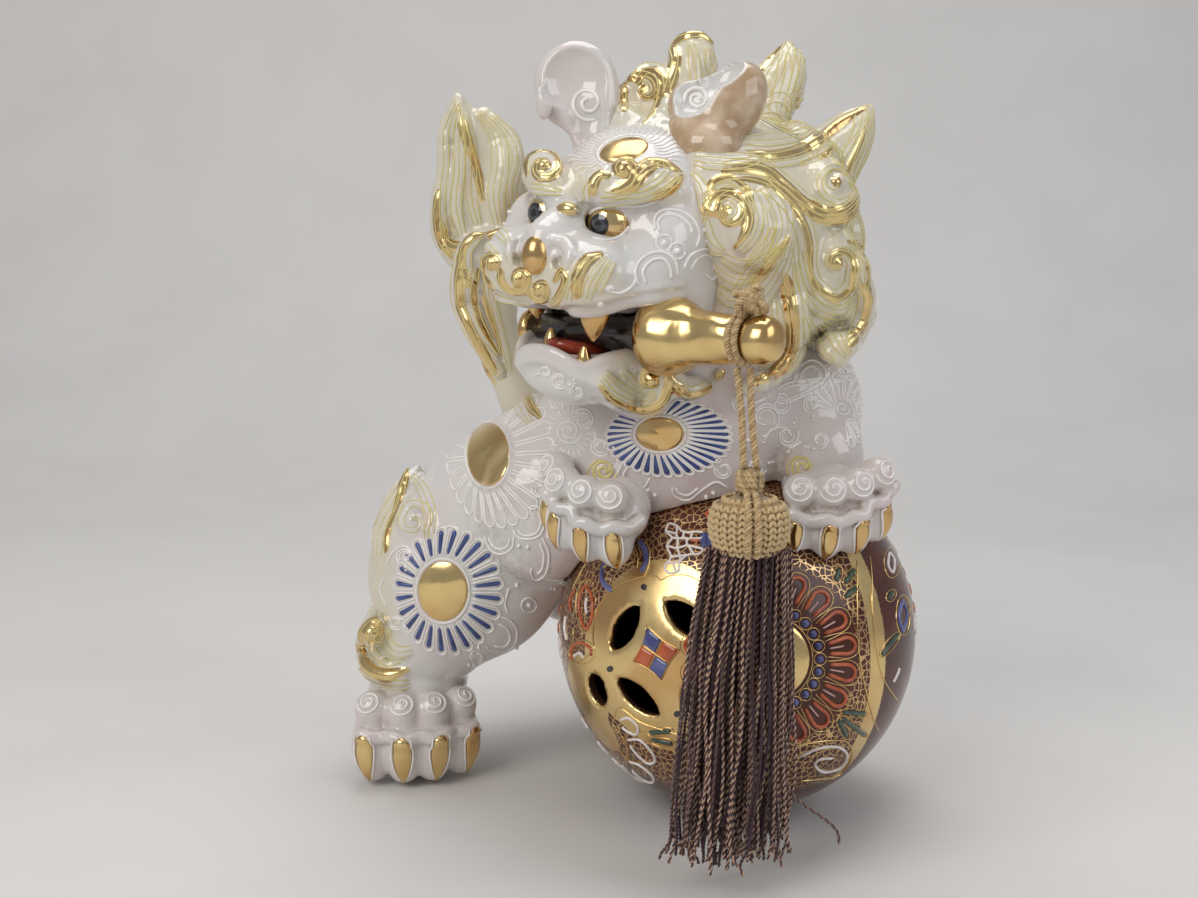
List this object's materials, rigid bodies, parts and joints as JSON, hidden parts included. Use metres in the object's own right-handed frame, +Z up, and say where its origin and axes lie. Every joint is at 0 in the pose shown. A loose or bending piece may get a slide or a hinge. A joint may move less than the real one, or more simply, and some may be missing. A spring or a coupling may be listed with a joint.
{
  "type": "porcelain guardian lion figure",
  "caption": "Glazed porcelain guardian lion with its forepaws on a pierced ball, a rod in its mouth and a tassel hung from the rod.",
  "frame": {"origin": "on the surface the figure stands on, below the middle of the porcelain's bounding box", "axes": "+Z up, -Y towards the viewer of the front, +X to that viewer's right"},
  "size_m": [0.2338, 0.2305, 0.3022],
  "materials": {
    "porcelain": "glossy white glaze with raised slip lines and gilding",
    "gold_lustre": "burnished gold over glaze",
    "red_enamel": "iron red enamel with fine gold drawing",
    "black_glaze": "glossy black glaze",
    "eye_enamel": "gold eye with dark painted iris",
    "cord": "champagne gold twisted cord",
    "tassel_strings": "two-tone purple brown twisted strings"
  },
  "bodies": {
    "figure": {"torso": "porcelain", "right_hind_leg": "porcelain", "right_hind_paw": "porcelain", "left_hind_leg": "porcelain", "left_hind_paw": "porcelain", "right_foreleg": "porcelain", "right_forepaw": "porcelain", "left_foreleg": "porcelain", "left_forepaw": "porcelain", "tail": "porcelain", "head": "porcelain", "lower_jaw": "porcelain", "mane": "porcelain", "cheek_curl": "porcelain", "upper_side_curl": "porcelain", "lower_side_curl": "porcelain", "cheek_lock": "porcelain", "side_lock": "porcelain", "crown_curl": "porcelain", "top_curl": "porcelain", "right_top_curl": "porcelain", "right_side_curl": "porcelain", "right_low_curl": "porcelain", "right_back_curl": "porcelain", "left_back_curl": "porcelain", "back_curl": "porcelain", "low_back_curl": "porcelain", "front_crest": "porcelain", "middle_crest": "porcelain", "back_crest": "porcelain", "left_ear": "porcelain", "right_ear": "porcelain", "left_brow": "porcelain", "right_brow": "porcelain", "left_beard_curl": "porcelain", "right_beard_curl": "porcelain", "right_haunch_tuft": "porcelain", "right_hock_curl": "porcelain", "left_haunch_tuft": "porcelain", "nose": "gold_lustre", "left_upper_fang": "gold_lustre", "right_upper_fang": "gold_lustre", "left_lower_fang": "gold_lustre", "right_lower_fang": "gold_lustre", "left_rod_cap": "gold_lustre", "right_rod_cap": "gold_lustre", "ball": "red_enamel", "tongue": "red_enamel", "rod": "black_glaze", "left_eye": "eye_enamel", "right_eye": "eye_enamel"},
    "hanging_cord": {"cord_loop": "cord", "cord_knot": "cord", "cord_strand_1": "cord", "cord_strand_2": "cord"},
    "tassel": {"cord_wrap": "cord", "tassel_head": "cord", "tassel_skirt": "tassel_strings"}
  },
  "joints": [
    {"name": "tassel_swing", "type": "hinge", "parent": "figure", "child": "hanging_cord", "pos_m": [0.03911, -0.10111, 0.19175], "axis": [0.788, -0.6157, 0], "range_deg": [-75, 4]},
    {"name": "tassel_sway", "type": "hinge", "parent": "hanging_cord", "child": "tassel", "pos_m": [0.04147, -0.10296, 0.1442], "axis": [0, 1, 0], "range_deg": [-25, 25]}
  ]
}
